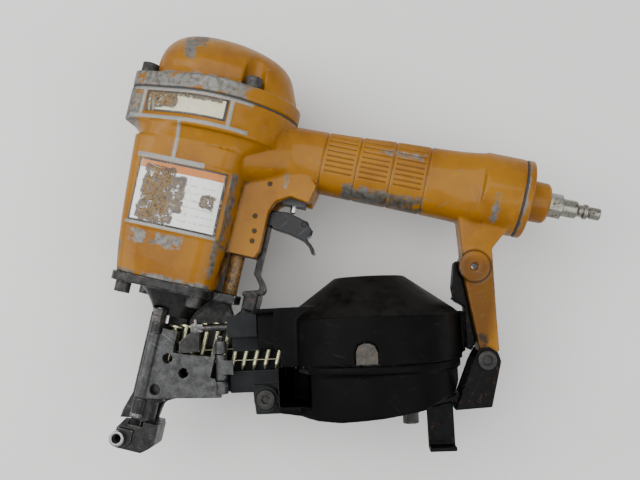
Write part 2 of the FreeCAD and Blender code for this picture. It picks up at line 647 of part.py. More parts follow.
def trip():
    profile = [(-15, 3), (-12, 0), (5.5, 0), (10, 3.5), (13, 7), (13, 20), (-9.5, 20), (-14, 13)]
    shape = prism(profile, -11, 9)
    tail = brick((-6, 6, -20.5), (10, 20, -10))
    boss = prism([(-14.5, 2.5), (-5, 2.5), (-2, 6), (-2, 13.6), (-12, 13.6)], 8, 12)
    pocket_low = 9.4
    shape = shape.multiFuse([tail, boss])
    cuts = [Part.makeCylinder(size.channel_radius, 30, V(0, -5, 0), Y_WAY),
            Part.makeCylinder(size.barrel_radius + 0.25, 20, V(0, pocket_low, 0), Y_WAY),
            brick((-20, pocket_low + 0.2, -8.6), (-3.4, 25, 5.6)),
            brick((-7, 16.7, 2), (3, 25, 10)),
            Part.makeCylinder(3, 30, V(-10.2, 7.3, 0))]
    feature("contact_foot", shape.cut(cuts).Solids[0])
    keep("foot_ring", tube("foot_ring_tube", 5, 3, 5, (-10.2, 7.3, 12.02), Z_WAY))
    far, near = -20.5, -16.5
    strap = prism([(1.2, 20.05), (5.5, 20.05), (7, 30), (13, 38), (21, 51.5), (57, 98), (58, 117), (47, 117),
                   (45, 104), (8, 58), (2.2, 40)], far, near)
    knee = brick((48.5, 106, near - 1), (58, 116.9, 4))
    shelf = prism([(47, 115), (61, 118), (62.5, 121.5), (60.5, 125.5), (size.arm_back, 131),
                   (size.arm_front, 131), (57.3, 124), (57.5, 121), (47, 118)], -size.arm_half, size.arm_half)
    arm = brick((size.arm_front, 130, -size.arm_half), (size.arm_back, 168, size.arm_half))
    feature("contact_arm", strap.multiFuse([knee, shelf, arm]).Solids[0])
    spring("trip_spring", 2.4, 0.45, 9, 20.05, 49.95, -2, -17.6)


# ---- trigger group ----

def trigger_group():
    owner = body("trigger")
    sk = sketch(owner, "XY_Plane", "trigger_side")
    outline(sk, [(42.5, 171.5), (56, 175), (66, 175.9), (78, 172.8), (83.8, 168), (83.3, 163.2), (80, 160.4),
                 (70, 163), (57, 164.6), (43, 164.5)])
    pad(owner, sk, 13, both=True)
    sk = sketch(owner, "XY_Plane", "trigger_tail")
    outline(sk, [(57, 163.4), (70, 161.8), (80, 159.2), (84.5, 155.8), (87.4, 151.5), (89.4, 152.6),
                 (86.5, 157.2), (81, 161.6), (70, 164), (57, 165.4)])
    pad(owner, sk, 13, both=True)
    sk = sketch(owner, "XY_Plane", "trigger_hollow")
    outline(sk, [(40, 166), (57, 166), (70, 165), (80.5, 163), (86, 166), (86, 178), (40, 178)])
    pocket(owner, sk, 10, both=True)
    sk = sketch(owner, "XY_Plane", "trigger_throat")
    outline(sk, [(40, 160), (56.8, 160), (56.8, 170), (40, 170)])
    pocket(owner, sk, 10, both=True)
    sk = sketch(owner, "XY_Plane", "trigger_holes")
    circle(sk, size.trigger_x, size.trigger_y, "pin_radius + fit_gap")
    circle(sk, size.lever_x, size.lever_y, "pin_radius + 0.01")
    pocket(owner, sk, 40, both=True)
    half = size.cheek_half
    pin = rod("trigger_pivot", "pin_radius", "2 * cheek_half - 0.6",
              (size.trigger_x, size.trigger_y, -half + 0.3), Z_WAY)
    keep("trigger_pin", pin)
    keep("lever_pin", rod("lever_pivot", "pin_radius", 12.9, (size.lever_x, size.lever_y, -6.45), Z_WAY))
    lever = prism([(53.2, 169.1), (76, 169.1), (76, 171.6), (53.2, 171.6)], -3.5, 3.5)
    eye = Part.makeCylinder(2.8, 7, V(size.lever_x, size.lever_y, -3.5))
    hole = Part.makeCylinder(size.pin_radius + size.fit_gap, 20, V(size.lever_x, size.lever_y, -10))
    feature("trigger_lever", lever.fuse(eye).cut(hole).Solids[0])
    helix = Part.Wire(Part.makeHelix(1.1, 7, 2.3)).makePipeShell(
        [Part.Wire([Part.makeCircle(0.4, V(2.3, 0, 0), Y_WAY)])], True, True)
    helix.Placement = FreeCAD.Placement(V(size.trigger_x, size.trigger_y, -3.5), FreeCAD.Rotation())
    feature("trigger_spring", helix)
    x = size.valve_x
    half = size.slot_half - 0.1
    base = prism([(48.6, 187), (58.5, 187), (60.5, 181), (75.6, 181), (76, 186), (76, 193.9), (48.6, 193.9)],
                 -half, half)
    barrel = Part.makeCylinder(7.5, 10.5, V(x, 193.5, 0), Y_WAY)
    cuts = [Part.makeCylinder(size.stem_radius + size.fit_gap, 40, V(x, 170, 0), Y_WAY),
            Part.makeCylinder(4.2, 12.5, V(x, 189.5, 0), Y_WAY),
            Part.makeCylinder(size.pin_radius + 0.02, 40, V(51.4, 190.7, -20))]
    feature("valve_body", base.fuse(barrel).cut(cuts).Solids[0])
    lathe("valve_stem", [(0, 176.2), (1.2, 176.2), (2, 177), (2, 189.6), (3.9, 189.6), (3.9, 192.2),
                         (2, 192.2), (2, 196), (0, 196)], at=(x, 0, 0))
    spring("valve_spring", 3.0, 0.4, 5, 192.3, 201.9, x, 0)
    short = size.cheek_half - 0.3
    pins = [rod(f"roll_pin_{i}", "pin_radius", 2 * short, (px, py, -short), Z_WAY)
            for i, (px, py) in enumerate(((51.4, 190.7), (48, 158.3), (48.2, 151.5)))]
    keep("roll_pins", group("roll_pins", pins))
    plate = prism([(44.1, 147.5), (51.4, 147.5), (51.4, 162.5), (44.1, 162.5)], -half, half)
    holes = [Part.makeCylinder(size.pin_radius + 0.02, 40, V(px, py, -20))
             for px, py in ((48, 158.3), (48.2, 151.5))]
    feature("arm_guide", plate.cut(holes))
    keep("air_tube", tube("air_tube_wall", 5, 3.4, 26.7, (38.9, 114.1, 6)))


# ---- magazine ----

def turned(profile):
    """A solid turned about the canister's axis from (radius, height) points, in the magazine's frame."""
    points = [V(r, rise, 0) for r, rise in profile]
    face = Part.Face(Part.makePolygon(points + points[:1]))
    return face.revolve(V(0, 0, 0), Y_WAY, 360)


def cover_profile(shrink):
    radius = size.cover_radius - shrink
    top = size.cover_top - shrink
    return [(0, -1 if shrink else 0), (radius, -1 if shrink else 0), (radius - 0.4, size.cover_side - 3),
            (radius - 3.5, size.cover_side), (size.cone_radius - shrink * 0.6, top), (0, top)]


TAB = [(-9.6, 1), (3.4, 1), (3.4, 8.5), (1.6, 12.2), (-1.6, 13.6), (-4.8, 13.6), (-8, 12.2), (-9.6, 8.5)]


def magazine_cover():
    side = 35
    outer = turned(cover_profile(0)).fuse(brick((-57, 0, -side), (-30, 37, side)))
    roof = brick((-75, 34, -20), (-50, 37, 30))
    skirt = brick((-72, 11, 24.1), (-56, 37, 26.6))
    corner = brick((-60.5, 11, 24.1), (-56, 37, side))
    stop = brick((58, 4, -8), (60.4, 30, 8))
    outer = outer.multiFuse([roof, skirt, corner, stop])
    wall = size.cover_wall
    inner = turned(cover_profile(wall)).fuse(brick((-58, -1, -side + wall), (-30, 34.5, side - wall)))
    tab_hole = prism([(1.05 * (x + 3.1) - 3.1, 1.05 * (y - 7.3) + 7.3) for x, y in TAB], 40, 70)
    shape = outer.cut([inner, tab_hole])
    solid = shape.Solids[0]
    solid.Placement = magazine()
    feature("magazine_cover", solid)
    tab = prism(TAB, 40, 70).common(Part.makeCylinder(size.cover_radius + 0.25, 60, V(0, 0, 0), Y_WAY))
    tab = tab.cut(Part.makeCylinder(size.cover_radius - size.cover_wall, 80, V(0, -10, 0), Y_WAY)).Solids[0]
    tab.Placement = magazine()
    feature("cover_catch", tab)


BOWL = [(-60, -0.1), (56, -0.1), (56, -12), (51, -20), (30, -28), (5, -31), (-20, -33), (-35, -32.5),
        (-60, -28.5)]
BOWL_HOLLOW = [(-57.5, 1), (56, 1), (56, -11), (49.4, -17.6), (29.2, -25.4), (4.8, -28.4), (-20, -30.4),
               (-34.8, -29.9), (-57.5, -26.3)]


def round_of(radius, low, high):
    return Part.makeCylinder(radius, high - low, V(0, low, 0), Y_WAY)


def magazine_bowl():
    half = 30
    outer = prism(BOWL, -70, 70).common(round_of(size.bowl_radius, -60, 10))
    front = prism(BOWL, -half, half).common(brick((-60, -60, -half), (-20, 10, half)))
    rim = round_of(size.rim_radius, -5, -0.1)
    wall = size.bowl_wall
    inner = prism(BOWL_HOLLOW, -70, 70).common(round_of(size.bowl_radius - wall, -60, 10))
    front_inner = prism(BOWL_HOLLOW, wall - half, half - wall)
    front_inner = front_inner.common(brick((-60, -60, -half), (-20, 10, half)))
    window = brick((-59, -25, 8), (-38.5, 2, 40))
    mouth = brick((-62, -9, -6), (-50, 1, 6))
    post_seat = round_of(2.5, -60, 0)
    bolt_hole = Part.makeCylinder(2.6, 20, V(23, -40, 0), Y_WAY)
    shape = outer.multiFuse([front, rim]).cut([inner, front_inner, window, mouth, bolt_hole])
    solid = shape.cut(post_seat).Solids[0]
    solid.Placement = magazine()
    feature("magazine_bowl", solid)
    post = turned([(0, -32.6), (2.4, -32.6), (2.4, -28), (6, -28), (6, 33), (4.5, 35), (0, 35)])
    post.Placement = magazine()
    feature("coil_post", post)
    disc = round_of(49, -5.2, size.tip_level - 0.1).cut(round_of(6.1, -10, 0))
    hub = round_of(9, -12, -5).cut(round_of(6.1, -20, 0))
    table = disc.fuse(hub)
    table.Placement = magazine()
    feature("nail_platform", table)


CHEEK_PLATE = [(199, 73.6), (221, 80.6), (221, 110), (218, 115), (212, 117.3), (206, 115), (203.6, 106),
               (201.6, 92)]


def bowl_mount():
    half = size.strut_half
    plate = 3
    near = half + 0.1
    cheeks = [prism(CHEEK_PLATE, near, near + plate), prism(CHEEK_PLATE, -near - plate, -near)]
    end = prism([(199, 73.6), (221, 80.6), (221, 83.6), (218, 83), (202, 77.6), (199.6, 77)],
                -half - 1, half + 1)
    strap = prism([(53.5, -22.6), (30.4, -28.05), (10, -30.45), (10, -33.4), (30.4, -31.2), (52, -26.2)],
                  -13, 13)
    strap.Placement = magazine()
    web = prism([(50.5, -31.5), (54, -31.5), (54, -21.6), (50.5, -22.9)], -13, 13)
    web.Placement = magazine()
    shape = cheeks[0].multiFuse([cheeks[1], end, strap, web])
    pivot = Part.makeCylinder(size.pivot_pin + size.fit_gap, 60, V(size.pivot_x, size.pivot_y, -30))
    bolt = Part.makeCylinder(2.6, 30, V(23, -50, 0), Y_WAY)
    bolt.Placement = magazine().multiply(bolt.Placement)
    feature("bowl_bracket", shape.cut([pivot, bolt]).Solids[0])
    shaft = rod("pivot_shaft", "pivot_pin", 34, (size.pivot_x, size.pivot_y, -17), Z_WAY)
    head = rod("pivot_head", 6, 2.5, (size.pivot_x, size.pivot_y, 15.2), Z_WAY)
    dimple = rod("pivot_dimple", 3, 3, (size.pivot_x, size.pivot_y, 16.7), Z_WAY)
    keep("bracket_pin", cut("bracket_pin_solid", fuse("bracket_pin_parts", [shaft, head]), dimple))
    shank = rod("bowl_bolt_shank", 2.5, 13, (23, -35, 0))
    washer = rod("bowl_bolt_washer", 6.5, 1.4, (23, -34.6, 0))
    head = hexagon("bowl_bolt_head", 9, 7, (23, -41.5, 0))
    keep("bowl_bolt", in_magazine(fuse("bowl_bolt_solid", [shank, washer, head])))
    hook_plate = prism([(33, -57), (50, -57), (50, -32.2), (33, -32.2)], 6, 9)
    lip = prism([(33, -57), (50, -57), (50, -54.4), (33, -54.4)], 6, 20)
    foot = prism([(33, -31.2), (50, -27.6), (50, -34), (33, -34)], 0, 9)
    hook = hook_plate.multiFuse([lip, foot])
    hook.Placement = magazine()
    feature("rest_hook", hook.Solids[0])


def cover_mount():
    stay = prism([(180, 166.5), (183.2, 168), (186.4, 160.2), (204.2, 118.2), (202.2, 112.5), (199, 113.5),
                  (192.3, 139.5), (185.5, 141.5), (182, 150)], -7, 7)
    seat = Part.makeCylinder(4.4, 9, V(57.6, 37.38, 0), Y_WAY)
    seat.Placement = magazine().multiply(seat.Placement)
    boss_room = Part.makeCylinder(size.boss_radius + 0.1, 30, V(193, 166, -15))
    feature("cover_stay", stay.cut([seat, boss_room]).Solids[0])


# ---- nails ----

MERGE = -66.0


def strip_path(run):
    """Where the strip is at a run back from the mouth: place in the canister's plane and heading back."""
    if run <= 0:
        return MERGE + run, 0.0, V(1, 0, 0)
    bend = (MERGE * MERGE - size.coil_radius ** 2) / (2 * size.coil_radius)
    meet = math.atan2(bend, -MERGE)
    turn = math.pi / 2 - meet
    if run <= bend * turn:
        angle = run / bend - math.pi / 2
        along = V(-math.sin(angle), 0, math.cos(angle))
        return MERGE + bend * math.cos(angle), bend + bend * math.sin(angle), along
    left = run - bend * turn
    angle = math.pi - meet
    radius = size.coil_radius
    step = 0.02
    while left > step * radius:
        angle -= step
        left -= step * radius
        radius -= 10.4 * step / (2 * math.pi)
    angle -= left / radius
    along = V(math.sin(angle), 0, -math.cos(angle))
    return radius * math.cos(angle), radius * math.sin(angle), along


def nail_at(run):
    """One nail and the line of its shank; the head leans back along the strip."""
    u, w, back = strip_path(run)
    lean = math.radians(size.tilt)
    way = Y_WAY * math.cos(lean) + back * math.sin(lean)
    tip = V(u, size.tip_level, w)
    shank = Part.makeCylinder(size.nail_radius, size.nail_length - 4, tip + way * 3.5, way)
    point = Part.makeCone(0.2, size.nail_radius, 3.6, tip, way)
    under = tip + way * (size.nail_length - size.head_thick)
    head = Part.makeCylinder(size.head_radius, size.head_thick, under, way)
    return shank.multiFuse([point, head]).Solids[0], tip, way, back


def nails(label, runs):
    """A run of collated nails with the two rows of wire welded along it."""
    line = [nail_at(run) for run in runs]
    solids = [nail[0] for nail in line]
    for (_, tip, way, back), (_, next_tip, next_way, _) in zip(line, line[1:]):
        aside = back.cross(Y_WAY) * (size.nail_radius + size.wire_radius + 0.02)
        for rise in (7, 15):
            start = tip + way * rise + aside
            end = next_tip + next_way * rise + aside
            step = (end - start) * 0.03
            solids.append(bar(size.wire_radius, tuple(start + step), tuple(end - step)))
    whole = Part.makeCompound(solids)
    whole.Placement = magazine()
    feature(label, whole)


def nail_runs():
    """The strip in the track, and the coil behind it; one pitch is left free where the bowl parts from it."""
    pitch = size.nail_pitch
    lean = math.radians(size.tilt)
    at_axis = (size.tip_level * math.sin(lean) - size.magazine_x) / math.cos(lean)
    first = at_axis - MERGE
    in_track = [first + pitch * k for k in range(1, 12)]
    in_coil = [first + pitch * k for k in range(13, 66)]
    return in_track, in_coil


# ---- air inlet ----

def inlet():
    level = size.plug_level
    face = size.handle_end
    seal = tube("end_gasket_ring", "end_radius - 0.4", 15, "gasket", (face, level, 0), X_WAY)
    holes = [rod(f"end_gasket_hole_{i}", 1.7, 4, (face - 1, level + 20.5 * c, 20.5 * s), X_WAY)
             for i, (c, s) in enumerate(end_screw_ways())]
    keep("end_cap_gasket", cut("end_gasket_solid", seal, fuse("end_gasket_holes", holes)))
    owner = body("end_cap")
    sk = sketch(owner, "XY_Plane", "end_cap_profile")
    outline(sk, [(6.6, 0), (26, 0), (26, 4), (24.6, 5), (13.8, 5.4), (13.4, 16.6), (11.5, 18.5),
                 (6.6, 18.5)])
    turn = owner.newObject("PartDesign::Revolution", "end_cap_turn")
    turn.Profile = sk
    turn.ReferenceAxis = (sk, ["V_Axis"])
    turn.Angle = 360
    owner.Tip = turn
    doc.recompute()
    sk = sketch(owner, "XZ_Plane", "end_cap_bolts")
    for c, s in end_screw_ways():
        circle(sk, 20.5 * c, 20.5 * s, 1.75)
    pocket(owner, sk, 30, both=True)
    sk = sketch(owner, "XZ_Plane", "end_cap_sinks", offset=-9)
    for c, s in end_screw_ways():
        circle(sk, 20.5 * c, 20.5 * s, 3.1)
    pocket(owner, sk, 6.2, flip=True)
    owner.Placement = FreeCAD.Placement(V(face + size.gasket, level, 0), FreeCAD.Rotation(Y_WAY, X_WAY))
    bore, tip = size.plug_bore, size.plug_tip
    plug = lathe("air_plug", [(bore, 0), (6.5, 0), (6.5, 28.6), (5.9, 29.6), (5.9, 38), (tip, 40), (tip, 42.2),
                              (5, 43.2), (5, 45.4), (3.3, 46.4), (3.3, 47), (tip, 47.2), (tip, 53.7),
                              (tip - 0.3, 54), (bore, 54)], at=(face, level, 0), way=X_WAY)
    sk = sketch(plug, "XZ_Plane", "plug_hexagon", offset="0 - plug_hex_low")
    reach = size.plug_flats / math.sqrt(3)
    outline(sk, [(reach * math.cos(k * math.pi / 3), reach * math.sin(k * math.pi / 3)) for k in range(6)])
    circle(sk, 0, 0, "plug_bore")
    pad(plug, sk, "plug_hex_long", flip=True)


housing()
plates()
cap()
fasteners()
engine()
nose()
nail_track()
door()
latch()
feed()
trip()
trigger_group()
magazine_cover()
magazine_bowl()
bowl_mount()
cover_mount()
strip, coil = nail_runs()
nails("nail_strip", strip)
nails("nail_coil", coil)
inlet()
doc.recompute()

for obj in doc.Objects:
    if "Invalid" in obj.State or "Error" in obj.State:
        raise RuntimeError(f"{obj.Name} failed to build: {obj.State}")
for label, obj in nodes.items():
    if obj.Shape.isNull() or not obj.Shape.isValid():
        raise RuntimeError(f"{label} has no valid shape")

os.makedirs("parts", exist_ok=True)
for label, obj in nodes.items():
    obj.Shape.exportStep(f"parts/{label}.step")
print(len(nodes), "nodes written")
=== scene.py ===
import json
import math

import bmesh
import bpy
from mathutils import Matrix, Vector
from mathutils.bvhtree import BVHTree


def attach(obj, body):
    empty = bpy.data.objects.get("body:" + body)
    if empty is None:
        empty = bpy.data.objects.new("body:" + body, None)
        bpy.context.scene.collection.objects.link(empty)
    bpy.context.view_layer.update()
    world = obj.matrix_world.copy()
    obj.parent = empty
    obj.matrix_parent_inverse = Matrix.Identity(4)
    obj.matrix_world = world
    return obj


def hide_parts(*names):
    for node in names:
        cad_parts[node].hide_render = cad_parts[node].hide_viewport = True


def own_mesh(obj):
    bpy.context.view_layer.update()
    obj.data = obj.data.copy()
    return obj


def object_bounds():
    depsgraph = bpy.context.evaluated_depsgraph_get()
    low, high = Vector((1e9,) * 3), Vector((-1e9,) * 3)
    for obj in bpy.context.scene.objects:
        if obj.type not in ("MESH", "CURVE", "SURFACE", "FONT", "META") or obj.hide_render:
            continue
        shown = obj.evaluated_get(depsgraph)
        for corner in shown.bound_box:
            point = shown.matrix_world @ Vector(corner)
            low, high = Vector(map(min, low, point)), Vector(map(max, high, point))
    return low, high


# The looks of a coil roofing nailer.  +Y runs up the drive axis, +X back along the handle,
# +Z out of the tool's left side.  Lengths are written in millimetres and turned into metres.

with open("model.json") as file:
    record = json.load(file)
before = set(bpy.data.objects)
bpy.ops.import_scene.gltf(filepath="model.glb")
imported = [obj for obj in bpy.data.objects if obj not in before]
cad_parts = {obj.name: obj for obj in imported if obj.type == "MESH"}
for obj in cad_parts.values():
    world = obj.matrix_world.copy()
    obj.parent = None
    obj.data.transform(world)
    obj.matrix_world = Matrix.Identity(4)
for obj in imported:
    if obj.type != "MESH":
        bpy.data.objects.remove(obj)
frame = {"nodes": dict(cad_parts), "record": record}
cad_box = [list(corner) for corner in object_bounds()]
NODES = frame["nodes"]
BODIES = frame["record"]["behaviour"]["bodies"]
BODY_OF = {node: body for body, members in BODIES.items() for node in members}
MM = 0.001


# ---- procedural materials ----

class Look:
    """A node material, put together from sockets."""

    def __init__(self, name):
        self.material = bpy.data.materials.new(name)
        self.material.use_nodes = True
        self.tree = self.material.node_tree
        self.tree.nodes.clear()
        self.output = self.add("ShaderNodeOutputMaterial")
        self.shader = self.add("ShaderNodeBsdfPrincipled")
        self.tree.links.new(self.shader.outputs["BSDF"], self.output.inputs["Surface"])
        self.place = self.add("ShaderNodeTexCoord").outputs["Object"]
        geometry = self.add("ShaderNodeNewGeometry")
        self.bend = geometry.outputs["Pointiness"]
        self.axes = self.parts_of(self.place)
        self.facing = self.parts_of(geometry.outputs["Normal"])

    def add(self, kind, **settings):
        node = self.tree.nodes.new(kind)
        for key, value in settings.items():
            setattr(node, key, value)
        return node

    def put(self, socket, value):
        if isinstance(value, bpy.types.NodeSocket):
            self.tree.links.new(value, socket)
        elif socket.type == "RGBA":
            socket.default_value = (*value, 1.0) if len(value) == 3 else value
        else:
            socket.default_value = value

    def parts_of(self, vector):
        """The X, Y and Z of a vector socket."""
        split = self.add("ShaderNodeSeparateXYZ")
        self.put(split.inputs[0], vector)
        return [split.outputs[i] for i in range(3)]

    def math(self, operation, *values):
        node = self.add("ShaderNodeMath", operation=operation)
        for socket, value in zip(node.inputs, values):
            self.put(socket, value)
        return node.outputs[0]

    def plus(self, a, b):
        return self.math("ADD", a, b)

    def times(self, *values):
        total = values[0]
        for value in values[1:]:
            total = self.math("MULTIPLY", total, value)
        return total

    def most(self, *values):
        total = values[0]
        for value in values[1:]:
            total = self.math("MAXIMUM", total, value)
        return total

    def other(self, mask):
        """What a mask leaves out."""
        return self.math("SUBTRACT", 1.0, mask)

    def ramp(self, value, low, high, start=0.0, end=1.0):
        """A smooth step from start to end, as value goes from low to high."""
        node = self.add("ShaderNodeMapRange", interpolation_type="SMOOTHSTEP")
        for socket, amount in zip(node.inputs, (value, low, high, start, end)):
            self.put(socket, amount)
        return node.outputs[0]

    def lesser(self, value, high, soft):
        """1 where value is below high, 0 above it."""
        return self.ramp(value, high - soft, high + soft, 1.0, 0.0)

    def noise(self, size_mm, detail=3.0, rough=0.55, at=None, warp=0.0):
        node = self.add("ShaderNodeTexNoise")
        self.put(node.inputs["Vector"], at or self.place)
        node.inputs["Scale"].default_value = 1000.0 / size_mm
        node.inputs["Detail"].default_value = detail
        node.inputs["Roughness"].default_value = rough
        node.inputs["Distortion"].default_value = warp
        return node.outputs["Fac"]

    def cells(self, size_mm, at=None):
        node = self.add("ShaderNodeTexVoronoi")
        self.put(node.inputs["Vector"], at or self.place)
        node.inputs["Scale"].default_value = 1000.0 / size_mm
        return node.outputs["Distance"]

    def rubbed(self, detail, amount, edge, soft):
        """1 on the outer edges of a mesh, broken up by a noise."""
        bend = self.plus(self.bend, self.times(self.plus(detail, -0.5), amount))
        return self.ramp(bend, edge, edge + soft)

    def stretched(self, scale, turn=(0, 0, 0), shift=(0, 0, 0)):
        """The place, turned and then scaled, for long marks."""
        first = self.add("ShaderNodeMapping")
        self.put(first.inputs["Vector"], self.place)
        first.inputs["Rotation"].default_value = [math.radians(a) for a in turn]
        first.inputs["Location"].default_value = [a * MM for a in shift]
        second = self.add("ShaderNodeMapping")
        self.put(second.inputs["Vector"], first.outputs[0])
        second.inputs["Scale"].default_value = scale
        return second.outputs[0]

    def ragged(self, reach_mm, size_mm=6.0):
        """The place, pushed about, so that what reads it gets torn edges."""
        node = self.add("ShaderNodeTexNoise")
        self.put(node.inputs["Vector"], self.place)
        node.inputs["Scale"].default_value = 1000.0 / size_mm
        node.inputs["Detail"].default_value = 5.0
        shift = self.add("ShaderNodeVectorMath", operation="MULTIPLY_ADD")
        self.put(shift.inputs[0], node.outputs["Color"])
        shift.inputs[1].default_value = (2 * reach_mm * MM,) * 3
        shift.inputs[2].default_value = (-reach_mm * MM,) * 3
        moved = self.add("ShaderNodeVectorMath", operation="ADD")
        self.put(moved.inputs[0], self.place)
        self.put(moved.inputs[1], shift.outputs[0])
        return moved.outputs[0]

    def disc(self, x, y, radius, soft):
        """1 within a circle round a line along Z, 0 outside."""
        away = self.add("ShaderNodeCombineXYZ")
        self.put(away.inputs[0], self.plus(self.axes[0], -x * MM))
        self.put(away.inputs[1], self.plus(self.axes[1], -y * MM))
        length = self.add("ShaderNodeVectorMath", operation="LENGTH")
        self.put(length.inputs[0], away.outputs[0])
        return self.lesser(length.outputs["Value"], radius * MM, soft * MM)

    def zone(self, low, high, soft=0.6, at=None):
        """1 inside a box in millimetres, 0 outside; None leaves a side open."""
        place = self.parts_of(at or self.place)
        mask = None
        for axis in range(3):
            for bound, upward in ((low[axis], True), (high[axis], False)):
                if bound is None:
                    continue
                near, far = (bound - soft) * MM, (bound + soft) * MM
                ends = (0.0, 1.0) if upward else (1.0, 0.0)
                side = self.ramp(place[axis], near, far, *ends)
                mask = side if mask is None else self.times(mask, side)
        return mask

    def mix(self, first, second, mask):
        node = self.add("ShaderNodeMix", data_type="RGBA")
        self.put(node.inputs["Factor"], mask)
        self.put(node.inputs[6], first)
        self.put(node.inputs[7], second)
        return node.outputs[2]

    def blend(self, first, second, mask):
        node = self.add("ShaderNodeMix", data_type="FLOAT")
        self.put(node.inputs[0], mask)
        self.put(node.inputs[2], first)
        self.put(node.inputs[3], second)
        return node.outputs[0]

    def finish(self, colour, roughness, metallic=0.0, height=None, depth_mm=0.1, coat=0.0, specular=0.5):
        """Set the shader, with a bump of that depth where a height is given."""
        inputs = self.shader.inputs
        self.put(inputs["Base Color"], colour)
        self.put(inputs["Roughness"], roughness)
        self.put(inputs["Metallic"], metallic)
        self.put(inputs["Specular IOR Level"], specular)
        self.put(inputs["Coat Weight"], coat)
        self.put(inputs["Coat Roughness"], 0.10)
        if height is not None:
            bump = self.add("ShaderNodeBump")
            bump.inputs["Strength"].default_value = 1.0
            bump.inputs["Distance"].default_value = depth_mm * MM
            self.put(bump.inputs["Height"], height)
            self.put(inputs["Normal"], bump.outputs[0])
        return self.material


ALUMINIUM = (0.165, 0.160, 0.148)
ALUMINIUM_DARK = (0.085, 0.076, 0.060)
ALUMINIUM_STAINED = (0.13, 0.082, 0.030)
ALUMINIUM_RUBBED = (0.23, 0.225, 0.205)
YELLOW = (0.222, 0.091, 0.0003)
YELLOW_DEEP = (0.155, 0.056, 0.0003)
YELLOW_LIGHT = (0.30, 0.13, 0.003)
GRIME = (0.022, 0.012, 0.005)
RUST = (0.115, 0.045, 0.016)


def scratches(look, density, turns, size=1.0):
    """Thin lines in a few directions, broken up by patches."""
    total = None
    for i, turn in enumerate(turns):
        along = look.stretched((0.35, 9.0, 0.8), (0, 0, turn), (11 * i, 7 * i, 0))
        about = look.stretched((1, 1, 1), (0, 0, turn), (40 * i, 23, 5))
        lines = look.noise(9.0 * size, 2.0, 0.4, at=along)
        patch = look.noise(16.0, 2.0, 0.5, at=about)
        mark = look.times(look.ramp(lines, density, density + 0.025), look.ramp(patch, 0.50, 0.62))
        total = mark if total is None else look.most(total, mark)
    return total


def chips(look, size_mm, amount):
    """Small ragged spots where paint has flown off."""
    dots = look.cells(size_mm, at=look.ragged(1.2, 3.0))
    gate = look.noise(size_mm * 3.5, 3.0, 0.6)
    return look.times(look.lesser(dots, amount, 0.05), look.ramp(gate, 0.50, 0.60))


def paint_look(name, bare_zones=(), ribs=(), edge=0.545, grime_zones=(), grooves=(), painted_shade_zones=()):
    """Yellow enamel over cast aluminium: chips, scratches, worn edges and grime.

    Zones are pairs of corners: bare ones lost their paint in patches, ribs are rubbed bare along their
    crest, grime ones are dirty, and the darker ones are painted shade where less light falls.  Grooves are
    rings (x, y, inner, outer) full of dirt."""
    look = Look(name)
    broad = look.noise(45.0, 4.0, 0.6)
    middle = look.noise(9.0, 4.0, 0.6)
    fine = look.noise(1.3, 3.0, 0.6)
    torn = look.ragged(3.2, 7.0)

    # Where the paint is gone.
    gate = look.ramp(look.noise(5.0, 4.0), 0.36, 0.48)
    bare = look.most(look.times(look.rubbed(middle, 0.10, edge, 0.025), gate),
                     chips(look, 9.0, 0.07), chips(look, 3.5, 0.08),
                     look.times(scratches(look, 0.69, (8, 62, -41)), 0.35))
    speckle = look.ramp(look.plus(look.times(middle, 0.8), look.times(fine, 0.2)), 0.40, 0.47)
    for low, high in bare_zones:
        bare = look.most(bare, look.times(look.zone(low, high, 1.2, torn), speckle))
    crest = 0.0
    for low, high in ribs:
        crest = look.most(crest, look.times(look.zone(low, high, 0.3), look.ramp(fine, 0.20, 0.32)))
    bare = look.most(bare, crest)

    # The paint, its painted shade and the dirt on it.
    yellow = look.mix(YELLOW_DEEP, YELLOW, look.ramp(broad, 0.30, 0.62))
    yellow = look.mix(yellow, YELLOW_LIGHT, look.times(look.ramp(middle, 0.55, 0.75), 0.3))
    # Painted shade: these zones darken the yellow to stand in for shade.
    for low, high in painted_shade_zones:
        shaded = look.times(look.zone(low, high, 5.0), 0.8)
        yellow = look.mix(yellow, [c * 0.45 for c in YELLOW_DEEP], shaded)
    hollow = look.ramp(look.plus(look.bend, look.times(look.plus(fine, -0.5), 0.03)), 0.485, 0.455)
    stain = look.ramp(look.noise(5.0, 6.0, 0.7, warp=0.6), 0.67, 0.73)
    dirt = look.most(look.times(hollow, 0.75), look.times(stain, 0.6))
    for low, high in grime_zones:
        dirt = look.most(dirt, look.times(look.zone(low, high, 1.5, torn), look.ramp(middle, 0.35, 0.6)))
    for x, y, inner, outer in grooves:
        line = look.times(look.disc(x, y, outer, 0.25), look.other(look.disc(x, y, inner, 0.25)))
        dirt = look.most(dirt, look.times(line, 0.85))
    yellow = look.mix(yellow, GRIME, dirt)

    # The metal below.
    metal = look.mix(ALUMINIUM, ALUMINIUM_DARK, look.ramp(look.noise(3.2, 4.0, 0.55), 0.38, 0.72))
    metal = look.mix(metal, ALUMINIUM_STAINED, look.times(look.ramp(broad, 0.42, 0.66), 0.6))
    metal = look.mix(metal, ALUMINIUM_RUBBED, look.times(crest, 0.85))

    paint_rough = look.ramp(middle, 0.3, 0.7, 0.40, 0.56)
    metal_rough = look.ramp(fine, 0.3, 0.7, 0.48, 0.66)
    height = look.plus(look.times(bare, -0.9), look.plus(look.times(fine, 0.25), look.times(middle, 0.5)))
    return look.finish(look.mix(yellow, metal, bare), look.blend(paint_rough, metal_rough, bare),
                       look.times(bare, 0.75), height, 0.12,
                       coat=look.blend(0.22, 0.0, bare), specular=look.blend(0.10, 0.3, bare))


